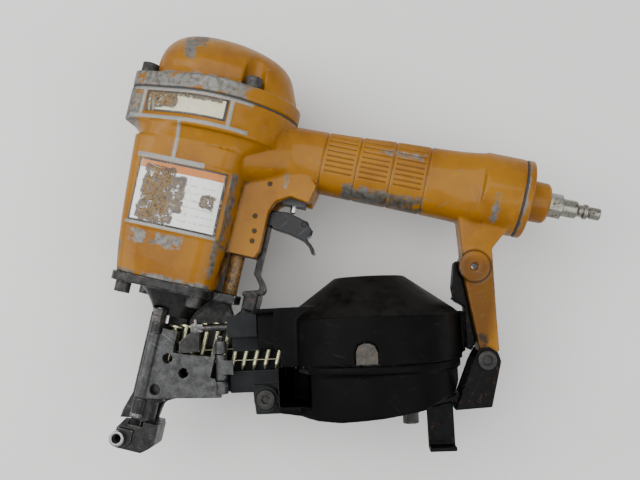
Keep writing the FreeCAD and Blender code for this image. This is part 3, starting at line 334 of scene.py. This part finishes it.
def steel_look(name, base, worn, rust=0.0, rough=(0.38, 0.6), edge=0.53, metallic=0.75, grain=0.6,
               scratch=0.67, specular=0.5):
    """Dark phosphated or bare steel: fine grain, rubbed edges, some rust."""
    look = Look(name)
    fine = look.noise(0.8, 4.0, 0.65)
    middle = look.noise(5.0, 5.0, 0.65)
    drift = look.ramp(look.plus(look.times(fine, 0.45), look.times(middle, 0.55)), 0.30, 0.68)
    shade = look.mix([c * 0.35 for c in base], [c * 1.6 for c in base], drift)
    rub = look.most(look.times(look.rubbed(middle, 0.08, edge, 0.05), look.ramp(fine, 0.30, 0.55)),
                    look.times(scratches(look, scratch, (25, -52), 0.7), 0.4))
    colour = look.mix(shade, worn, rub)
    if rust:
        spots = look.ramp(look.noise(3.4, 6.0, 0.75, warp=0.5), 0.60 - 0.14 * rust, 0.70 - 0.10 * rust)
        colour = look.mix(colour, RUST, look.times(spots, 0.35 + 0.4 * rust))
    height = look.plus(look.times(fine, grain), look.times(middle, 0.5))
    roughness = look.blend(look.ramp(middle, 0.3, 0.7, rough[1], rough[0]), rough[0] * 0.8, rub)
    return look.finish(colour, roughness, metallic, height, 0.10, specular=specular)


def plastic_look(name, base, scuff, rough=(0.34, 0.5), edge=0.54, dust=0.5):
    """Moulded black plastic: satin grain, scuffs, pale rubbed edges, dust specks, and a painted sheen on what
    faces up.
    """
    look = Look(name)
    grain = look.noise(0.7, 2.0, 0.5)
    middle = look.noise(11.0, 5.0, 0.6)
    broad = look.noise(38.0, 3.0, 0.6)
    shade = look.mix(base, [c * 1.7 for c in base], look.ramp(broad, 0.35, 0.70))
    rub = look.times(look.rubbed(middle, 0.08, edge, 0.04), 0.6)
    marks = look.times(scratches(look, 0.69, (4, 33, -18)), 0.25)
    gate = look.ramp(look.noise(14.0), 0.5, 0.56)
    specks = look.times(look.lesser(look.cells(3.5), 0.06, 0.03), gate, dust)
    haze = look.times(look.ramp(look.noise(19.0, 6.0, 0.7, warp=0.4), 0.52, 0.74), 0.10 * dust)
    # Painted sheen: faces turned up are lightened, standing in for the light from above.
    painted_top_sheen = look.times(look.ramp(look.facing[1], 0.2, 0.75), look.ramp(middle, 0.25, 0.6), 0.5)
    colour = look.mix(shade, [c * 0.6 for c in scuff], painted_top_sheen)
    colour = look.mix(colour, scuff, look.most(rub, marks, specks, haze))
    roughness = look.ramp(middle, 0.3, 0.7, rough[0], rough[1])
    height = look.plus(look.times(grain, 0.5), look.times(marks, -0.6))
    return look.finish(colour, roughness, 0.0, height, 0.05, specular=0.05)


ROW_PITCH = 4.6
LABEL_BLACK = (0.012, 0.012, 0.012)
LABEL_CREAM = (0.46, 0.43, 0.29)
LABEL_WHITE = (0.60, 0.60, 0.57)
LABEL_SOILED = (0.26, 0.22, 0.13)
LABEL_ORANGE = (0.36, 0.105, 0.0003)


def label_look(name, low, high, band=None, worn=()):
    """A blank printed label: black frame, pale field and worn or torn patches.

    Above the height band the field is orange, and rows of faint dashes stand for small print."""
    look = Look(name)
    torn = look.ragged(2.6, 5.0)
    fine = look.noise(0.9, 4.0, 0.6)
    middle = look.noise(4.0, 6.0, 0.75, warp=0.5)
    printed = band is not None
    soil = look.times(look.ramp(middle, 0.50, 0.70), 0.25 if printed else 0.55)
    field = look.mix(LABEL_WHITE if printed else LABEL_CREAM, LABEL_SOILED, soil)
    if printed:
        wave = look.math("SINE", look.times(look.axes[1], 2 * math.pi / (ROW_PITCH * MM)))
        dashes = look.ramp(look.noise(1.6, 1.0, 0.4, at=look.stretched((1.0, 0.12, 0.12))), 0.44, 0.50)
        text = look.times(look.ramp(wave, 0.72, 0.9), dashes, look.zone((2, 150, None), (24, 179, None), 0.3))
        field = look.mix(field, (0.20, 0.20, 0.20), look.times(text, 0.55))
        field = look.mix(field, LABEL_ORANGE, look.zone((None, band, None), (None, None, None), 0.15))
    inside = look.zone((low[0] + 1.4, low[1] + 1.2, None), (high[0] - 1.4, high[1] - 1.2, None), 0.15)
    colour = look.mix(LABEL_BLACK, field, inside)

    # Patches where the print is gone, with a dark rim round each.
    gone = None
    for a, b, strength in worn:
        patch = look.times(look.zone(a, b, 1.6, torn), look.ramp(middle, 0.36, 0.50), strength)
        gone = patch if gone is None else look.most(gone, patch)
    smear = look.ramp(look.noise(3.0, 5.0, 0.7), 0.40, 0.62)
    specks = look.ramp(look.noise(1.7, 6.0, 0.8, warp=0.8), 0.49, 0.58)
    under = look.mix((0.165, 0.078, 0.004), (0.105, 0.074, 0.026), smear)
    under = look.mix(under, (0.010, 0.007, 0.004), specks)
    colour = look.mix(colour, under, gone)
    rim = look.ramp(look.math("ABSOLUTE", look.plus(gone, -0.5)), 0.42, 0.30)
    colour = look.mix(colour, (0.03, 0.018, 0.010), look.times(rim, 0.85))
    scuffs = look.times(scratches(look, 0.60, (12, 80), 0.6), 0.6)
    colour = look.mix(colour, (0.30, 0.26, 0.18), scuffs)
    height = look.plus(look.times(gone, -1.0), look.times(fine, 0.3))
    return look.finish(colour, look.blend(0.32, 0.62, gone), 0.0, height, 0.12)


def plain_look(name, base, rough, metallic=0.0, vary=0.25, size_mm=4.0, depth=0.03, stain=None, amount=0.0):
    """Small parts: a grained surface whose colour drifts, with an optional stain."""
    look = Look(name)
    drift = look.noise(size_mm, 5.0, 0.65)
    fine = look.noise(0.6, 3.0, 0.6)
    colour = look.mix([c * (1 - vary) for c in base], [min(1.0, c * (1 + vary)) for c in base], drift)
    if stain:
        blots = look.noise(size_mm * 0.6, 6.0, 0.75, warp=0.7)
        colour = look.mix(colour, stain, look.ramp(blots, 0.62 - amount * 0.2, 0.70 - amount * 0.15))
    grain = look.plus(look.times(drift, 0.6), look.times(fine, 0.4))
    roughness = look.ramp(grain, 0.35, 0.65, rough - 0.07, rough + 0.1)
    return look.finish(colour, roughness, metallic, look.plus(fine, drift), depth)


# ---- mesh work ----

def new_piece(name, mesh):
    piece = bpy.data.objects.new(name, mesh)
    bpy.context.scene.collection.objects.link(piece)
    return piece


def copied(name, *nodes):
    """The closed mesh of one or more CAD nodes, in a new piece."""
    work = bmesh.new()
    for node in nodes:
        work.from_mesh(NODES[node].data)
    bmesh.ops.remove_doubles(work, verts=work.verts, dist=2e-6)
    bmesh.ops.recalc_face_normals(work, faces=work.faces)
    mesh = bpy.data.meshes.new(name)
    work.to_mesh(mesh)
    work.free()
    return new_piece(name, mesh)


def baked(piece):
    """Apply the piece's modifiers."""
    bpy.context.view_layer.update()
    shown = piece.evaluated_get(bpy.context.evaluated_depsgraph_get())
    mesh = bpy.data.meshes.new_from_object(shown)
    piece.modifiers.clear()
    piece.data = mesh
    return piece


def recast(piece, voxel_mm, smooth=2):
    """Rebuild a piece's skin on an even grid and ease its corners, as a casting or moulding has them."""
    grid = piece.modifiers.new("grid", "REMESH")
    grid.mode = "VOXEL"
    grid.voxel_size = voxel_mm * MM * 1.0
    ease = piece.modifiers.new("ease", "SMOOTH")
    ease.factor = 0.5
    ease.iterations = smooth
    baked(piece)
    piece.data.shade_smooth()
    return piece


def eased(piece, width_mm):
    """Bevel a machined piece's edges, and keep its flats flat."""
    work = bmesh.new()
    work.from_mesh(piece.data)
    bmesh.ops.dissolve_limit(work, angle_limit=math.radians(0.6), verts=work.verts, edges=work.edges)
    work.to_mesh(piece.data)
    work.free()
    edge = piece.modifiers.new("edge", "BEVEL")
    edge.width = width_mm * MM
    edge.segments = 2
    edge.limit_method = "ANGLE"
    edge.angle_limit = math.radians(32)
    edge.harden_normals = False
    baked(piece)
    piece.data.shade_smooth()
    piece.data.set_sharp_from_angle(angle=math.radians(38))
    return piece


def wear(piece, material, *nodes):
    """Give a piece its material and its body, and hide the CAD nodes that it stands for."""
    piece.data.materials.clear()
    piece.data.materials.append(material)
    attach(piece, BODY_OF[nodes[0]])
    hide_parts(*nodes)
    return piece


def tree_of(node):
    work = bmesh.new()
    work.from_mesh(NODES[node].data)
    tree = BVHTree.FromBMesh(work)
    work.free()
    return tree


def on_side(tree, x, y, side):
    """Where a line along Z first meets the skin, and the skin's way out there."""
    place, way, _, _ = tree.ray_cast(Vector((x * MM, y * MM, 0.2 * side)), Vector((0, 0, -side)))
    return place, way


def rib(work, tree, points, side, width=2.2):
    """A raised rib that follows the skin along a line of (x, y) points."""
    height, sink, step = 0.75, 0.7, 1.5
    places = []
    for (x0, y0), (x1, y1) in zip(points, points[1:]):
        count = max(2, int(math.hypot(x1 - x0, y1 - y0) / step))
        places += [(x0 + (x1 - x0) * i / count, y0 + (y1 - y0) * i / count) for i in range(count)]
    places.append(points[-1])
    hits = [on_side(tree, x, y, side) for x, y in places]
    hits = [hit for hit in hits if hit[0] is not None]
    half = [(-0.62, -sink), (-0.5, 0.35 * height), (-0.3, 0.85 * height)]
    profile = half + [(0.0, height)] + [(-u, v) for u, v in reversed(half)]
    rings = []
    for i, (place, way) in enumerate(hits):
        ahead = hits[min(i + 1, len(hits) - 1)][0] - hits[max(i - 1, 0)][0]
        across = way.cross(ahead).normalized() * (width * MM)
        rings.append([work.verts.new(place + across * u + way * (v * MM)) for u, v in profile])
    for ring, after in zip(rings, rings[1:]):
        for k in range(len(profile)):
            n = (k + 1) % len(profile)
            work.faces.new((ring[k], ring[n], after[n], after[k]))
    work.faces.new(rings[0])
    work.faces.new(list(reversed(rings[-1])))


# ---- the housing ----

LABEL_LOW, LABEL_HIGH = (-30, 147.5), (27.5, 188)
BAND_LOW, BAND_HIGH = 215.6, 234.0
RINGS_AT = (82, 105, 128, 151)


def housing_ribs():
    """The bare ribs that frame the name band and the side label, on both sides of the casting."""
    tree = tree_of("housing")
    work = bmesh.new()
    for side in (1, -1):
        for y in (BAND_LOW, BAND_HIGH):
            rib(work, tree, [(-44, y), (34, y)], side)
        for x in (-39.5, 22.3):
            rib(work, tree, [(x, BAND_LOW), (x, BAND_HIGH)], side)
        rib(work, tree, [(-9, BAND_LOW), (-9, 190.5)], side, width=1.9)
        (x0, y0), (x1, y1) = LABEL_LOW, LABEL_HIGH
        rib(work, tree, [(x0 - 1, y1 + 1.3), (-10, y1 + 2.2), (x1 + 1, y1 + 1.3)], side, width=2.0)
        rib(work, tree, [(x0 + 1, y0 - 1.5), (x1 + 2, y0 - 1.5)], side, width=2.0)
        rib(work, tree, [(x1 + 2, y0 - 1.5), (x1 + 2, y1 + 1.3)], side, width=2.0)
    bmesh.ops.recalc_face_normals(work, faces=work.faces)
    return work


def grip_grooves(piece):
    """Press the rings and the lengthwise grooves into the handle."""
    handle_y, handle_reach, underside = 214.8 * MM, 16.5 * MM, 190 * MM
    ring_half, groove_half, land, depth = 0.95, 0.75, 2.2, 0.65 * MM
    first_groove, pitch, last = math.radians(-24), math.radians(10.5), 8
    low, high = (RINGS_AT[0] - 3) * MM, (RINGS_AT[-1] + 3) * MM

    def pressed(place):
        """How far out of the handle's middle a place is, if it is on the grip."""
        reach = math.hypot(place.y - handle_y, place.z)
        return reach if low < place.x < high and place.y >= underside and reach >= handle_reach else 0.0

    work = bmesh.new()
    work.from_mesh(piece.data)
    near = [f for f in work.faces if pressed(f.calc_center_median())]
    edges = list({e for f in near for e in f.edges})
    bmesh.ops.subdivide_edges(work, edges=edges, cuts=1, use_grid_fill=True)
    for vert in work.verts:
        reach = pressed(vert.co)
        if not reach:
            continue
        x, y, z = vert.co
        from_ring = min(abs(x / MM - at) for at in RINGS_AT)
        press = 1.0 - (from_ring / ring_half) ** 2
        if RINGS_AT[0] + land < x / MM < RINGS_AT[-1] - land and from_ring > land:
            groove = (math.atan2(y - handle_y, abs(z)) - first_groove) / pitch
            if -0.4 < groove < last + 0.4:
                off = abs(groove - round(groove)) * pitch * reach / MM
                press = max(press, 1.0 - (off / groove_half) ** 2)
        if press > 0:
            vert.co += Vector((0, handle_y - y, -z)).normalized() * (depth * press)
    work.to_mesh(piece.data)
    work.free()


def housing():
    piece = copied("housing_casting", "housing")
    ribs = housing_ribs()
    ribs.from_mesh(piece.data)
    ribs.to_mesh(piece.data)
    ribs.free()
    recast(piece, 1.0)
    grip_grooves(piece)
    piece.data.shade_smooth()
    rib_crests = [((-48, BAND_LOW - 1.3, 20), (34.5, BAND_LOW + 1.2, None)),
                  ((-48, BAND_HIGH - 1.2, 20), (34.5, BAND_HIGH + 1.3, None)),
                  ((-40.8, BAND_LOW, 20), (-38.3, BAND_HIGH, None)),
                  ((21.1, BAND_LOW, 20), (23.6, BAND_HIGH, None)),
                  ((-10.2, 191, 20), (-7.8, BAND_LOW, None)),
                  ((-33, 188.4, 20), (12, 191.6, None)),
                  ((-32, 145.4, 20), (28, 147.6, None))]
    body_bare = [((None, 206, None), (-41, 236, None)), ((-45, 233, 26), (0, 236, None)),
                 ((-26, 135, 30), (8, 142.5, None)), ((None, 113, None), (-32, 134, None)),
                 ((30, 141, 10), (32.5, 190, None)), ((-40, 113, 26), (30, 116.4, None)),
                 ((27, 120, 28), (30, 146, None))]
    handle_bare = [((98, 186, None), (152, 201.5, None)), ((196, 196, 8), (200, 214, None)),
                   ((60, 190, 8), (62.5, 200, None)), ((118, 226, 8), (146, 229, None))]
    grime = [((26, 114, None), (34, 190, 22)), ((196, 114, None), (210, 124, None))]
    # The strut's zone darkens its paint as painted shade.
    strut_painted_shade = [((170, 112, None), (212, 172, None))]
    boss_ring = (193, 166, 9.9, 10.9)
    look = paint_look("painted_casting", body_bare + handle_bare, rib_crests, grime_zones=grime,
                      grooves=[boss_ring], painted_shade_zones=strut_painted_shade)
    return wear(piece, look, "housing")


def cap():
    piece = recast(copied("cap_casting", "frame_cap"), 0.9, 3)
    bare = [((None, 235.5, None), (30, 246.2, None)), ((None, 244.5, 24), (34, 248.5, None)),
            ((-20, 258, 20), (-12, 270, 45)), ((-24, 268, 5), (-8, 281, 40)),
            ((-30, 277, None), (-2, 293, 30))]
    return wear(piece, paint_look("painted_cap", bare, edge=0.55), "frame_cap")


def end_cap():
    piece = recast(copied("end_fitting", "end_cap"), 0.6)
    bare = [((None, None, None), (215.6, None, None))]
    return wear(piece, paint_look("painted_end", bare, edge=0.54), "end_cap")


# ---- the other pieces ----

def recast_all(finish, end, sizes):
    """Rebuild CAD nodes as castings in one finish: sizes is a list of (node, voxel size, smoothing)."""
    for node, voxel, smooth in sizes:
        wear(recast(copied(f"{node}_{end}", node), voxel, smooth), finish, node)


def eased_all(finish, end, width, nodes):
    """Ease the edges of machined CAD nodes in one finish."""
    for node in nodes:
        wear(eased(copied(f"{node}_{end}", node), width), finish, node)


def castings():
    dark = steel_look("dark_casting", (0.016, 0.0155, 0.015), (0.17, 0.168, 0.160), 0.15, (0.26, 0.46),
                      edge=0.525, metallic=0.5, specular=0.26)
    plate = steel_look("door_plate", (0.036, 0.036, 0.036), (0.20, 0.20, 0.195), 0.10, (0.32, 0.52),
                       metallic=0.45, specular=0.32)
    guide = plastic_look("grey_guide", (0.0085, 0.009, 0.0095), (0.07, 0.07, 0.07), (0.36, 0.5), 0.53, 0.8)
    recast_all(dark, "cast", [("nose_casting", 0.6, 1), ("contact_foot", 0.35, 1), ("contact_arm", 0.6, 2),
                              ("feed_pawl", 0.4, 1), ("arm_guide", 0.4, 1)])
    recast_all(plate, "cast", [("door", 0.5, 2), ("door_latch", 0.4, 1)])
    recast_all(guide, "block", [("nail_guide", 0.5, 2), ("feed_cylinder", 0.5, 2)])


def magazine():
    shell = plastic_look("black_shell", (0.0007, 0.0007, 0.0007), (0.024, 0.0235, 0.021), (0.34, 0.50))
    bracket = steel_look("black_bracket", (0.0020, 0.0020, 0.0021), (0.045, 0.042, 0.039), 0.2, (0.38, 0.52),
                         edge=0.545, metallic=0.1, specular=0.09)
    catch = steel_look("catch_metal", (0.036, 0.032, 0.025), (0.10, 0.092, 0.078), 0.35, (0.4, 0.55),
                       metallic=0.4)
    recast_all(shell, "shell", [("magazine_cover", 0.85, 3), ("magazine_bowl", 0.85, 3)])
    recast_all(bracket, "plate", [("bowl_bracket", 0.6, 2), ("rest_hook", 0.5, 2), ("cover_stay", 0.6, 2)])
    recast_all(catch, "tab", [("cover_catch", 0.4, 1)])


def small_steel():
    screw = steel_look("black_screw", (0.010, 0.009, 0.008), (0.070, 0.064, 0.058), 0.2, (0.42, 0.6),
                       metallic=0.4)
    rubbed = steel_look("rubbed_steel", (0.035, 0.034, 0.033), (0.14, 0.138, 0.132), 0.1, (0.3, 0.48),
                        edge=0.51, metallic=0.85)
    bright = plain_look("bright_steel", (0.25, 0.25, 0.25), 0.34, 1.0, 0.2, 2.5)
    black = steel_look("trigger_black", (0.0035, 0.0035, 0.004), (0.10, 0.10, 0.10), 0.0, (0.18, 0.30),
                       edge=0.55, metallic=0.1, grain=0.2, scratch=0.72, specular=0.25)
    hole = plain_look("pin_ends", (0.012, 0.010, 0.008), 0.6, 0.3, 0.4, 1.0)
    eased_all(screw, "set", 0.45, ("cap_screws", "nose_screws", "magazine_screws", "bracket_pin", "bowl_bolt",
                                   "end_cap_screws", "door_nuts"))
    eased_all(rubbed, "turned", 0.35, ("door_rod", "feed_cap", "feed_piston", "latch_pin", "pawl_pin"))
    eased_all(bright, "turned", 0.5, ("foot_ring",))
    eased_all(hole, "set", 0.2, ("roll_pins", "trigger_pin", "lever_pin"))
    recast_all(black, "black", [("trigger", 0.45, 1), ("trigger_lever", 0.4, 1)])


def air_fittings():
    nickel = plain_look("worn_nickel", (0.21, 0.202, 0.172), 0.26, 1.0, 0.35, 3.0, 0.03,
                        stain=(0.06, 0.05, 0.035), amount=0.55)
    dirty = plain_look("dirty_tube", (0.15, 0.075, 0.012), 0.45, 0.1, 0.45, 5.0, 0.08,
                       stain=(0.02, 0.012, 0.006), amount=0.8)
    eased_all(nickel, "turned", 0.4, ("air_plug",))
    eased_all(dirty, "pipe", 0.3, ("air_tube",))


def labels():
    name_worn = [((-35, 222.5, None), (-14, 232, None), 1.0), ((-36, 218, None), (-30, 225, None), 0.8),
                 ((-14, 229.5, None), (16, 233, None), 0.45)]
    side_worn = [((-24, 149, None), (-5, 184, None), 1.0), ((-8, 158, None), (3, 180, None), 0.85),
                 ((-25, 150, None), (-2, 158, None), 0.9), ((15, 164, None), (23, 171, None), 0.9)]
    name_look = label_look("name_band", (-37, 219), (20, 232.6), worn=name_worn)
    side_look = label_look("side_label", LABEL_LOW, LABEL_HIGH, band=182, worn=side_worn)
    wear(eased(copied("name_band_plate", "nameplate"), 0.15), name_look, "nameplate")
    wear(eased(copied("side_label_plate", "side_plate"), 0.15), side_look, "side_plate")


# The springs that shorten with a joint: the joint, the way they shorten, their fixed end in millimetres,
# and how much stays of their length.
SPRINGS = (
    ("head_valve_spring", "head_valve_slide", (0, 1, 0), (0, 264.6, 0), 0.83),
    ("valve_spring", "stem_slide", (0, 1, 0), (68, 201.9, 0), 0.52),
    ("trip_spring", "trip_slide", (0, 1, 0), (-2, 49.95, -17.6), 0.69),
    ("feed_spring", "feed_slide", (0.965926, 0.258819, 0), (61.2, 97.6, 16.5), 0.15),
)


def inner_pieces():
    """Parts that mostly stay hidden keep their CAD shape and get fitting finishes."""
    finishes = {
        "rubber": plain_look("black_rubber", (0.018, 0.018, 0.018), 0.7, 0.0, 0.2, 2.0, 0.05),
        "alloy": plain_look("anodised_alloy", (0.45, 0.46, 0.48), 0.35, 0.9, 0.12, 6.0, 0.02),
        "ground": plain_look("ground_steel", (0.50, 0.50, 0.51), 0.28, 1.0, 0.12, 3.0, 0.02),
        "wire": plain_look("spring_wire", (0.30, 0.29, 0.28), 0.35, 0.9, 0.3, 1.5, 0.02),
        "nail": plain_look("plated_nail", (0.46, 0.44, 0.28), 0.30, 0.75, 0.22, 2.5, 0.03),
        "black": plain_look("black_moulding", (0.016, 0.016, 0.018), 0.45, 0.0, 0.3, 3.0, 0.04),
    }
    members = {
        "rubber": ("cap_gasket", "end_cap_gasket", "head_valve_seal", "piston_ring", "bumper"),
        "alloy": ("cylinder_sleeve", "head_valve", "coil_post"),
        "ground": ("piston", "driver_blade", "valve_stem"),
        "wire": ("trigger_spring",),
        "nail": ("nail_strip", "nail_coil"),
        "black": ("nail_platform", "valve_body"),
    }
    for finish, nodes in members.items():
        for node in nodes:
            materials = NODES[node].data.materials
            materials.clear()
            materials.append(finishes[finish])
    for node, joint, axis, fixed_end, keep in SPRINGS:
        coil = wear(copied(node + "_coil", node), finishes["wire"], node)
        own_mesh(coil)


# ---- floor, light and camera ----

# Name, place, size in metres and power in watts.
LAMPS = (
    ("key", (-0.22, 0.32, 0.90), 1.0, 8.6),
    ("fill", (0.75, 0.0, 0.8), 0.9, 5.5),
    ("side", (-0.6, 0.1, 0.5), 0.6, 3.5),
)


def setting():
    work = bmesh.new()
    bmesh.ops.create_grid(work, x_segments=2, y_segments=2, size=3.0)
    mesh = bpy.data.meshes.new("floor")
    work.to_mesh(mesh)
    work.free()
    floor = new_piece("floor", mesh)
    floor.location = (0.12, 0.15, cad_box[0][2] - 0.0002)
    look = Look("pale_floor")
    tone = look.mix((0.60, 0.59, 0.57), (0.66, 0.65, 0.63), look.noise(120.0, 4.0, 0.6))
    floor.data.materials.append(look.finish(tone, 0.9))

    world = bpy.data.worlds.new("studio")
    world.use_nodes = True
    world.node_tree.nodes["Background"].inputs[0].default_value = (0.93, 0.96, 1.0, 1.0)
    world.node_tree.nodes["Background"].inputs[1].default_value = 0.95
    bpy.context.scene.world = world

    target = Vector((0.11, 0.15, 0.0))
    for name, place, size, power in LAMPS:
        light = bpy.data.lights.new(name, "AREA")
        light.size = size
        light.energy = power
        lamp = bpy.data.objects.new(name, light)
        bpy.context.scene.collection.objects.link(lamp)
        lamp.location = place
        lamp.rotation_euler = (target - Vector(place)).to_track_quat("-Z", "Y").to_euler()

    camera = bpy.data.objects.new("camera", bpy.data.cameras.new("camera"))
    bpy.context.scene.collection.objects.link(camera)
    right = Vector((0.9744, 0.2143, -0.0684))
    up = Vector((-0.2074, 0.9735, 0.0961))
    back = Vector((0.0872, -0.0794, 0.9930))
    turn = Matrix((right, up, back)).transposed().to_4x4()
    camera.matrix_world = Matrix.Translation(Vector((134.14, 122.67, 500.97)) * MM) @ turn
    camera.data.lens = 42.03
    camera.data.sensor_width = 36.0
    camera.data.clip_start = 0.01
    bpy.context.scene.camera = camera


housing()
cap()
end_cap()
castings()
small_steel()
magazine()
air_fittings()
labels()
inner_pieces()
setting()
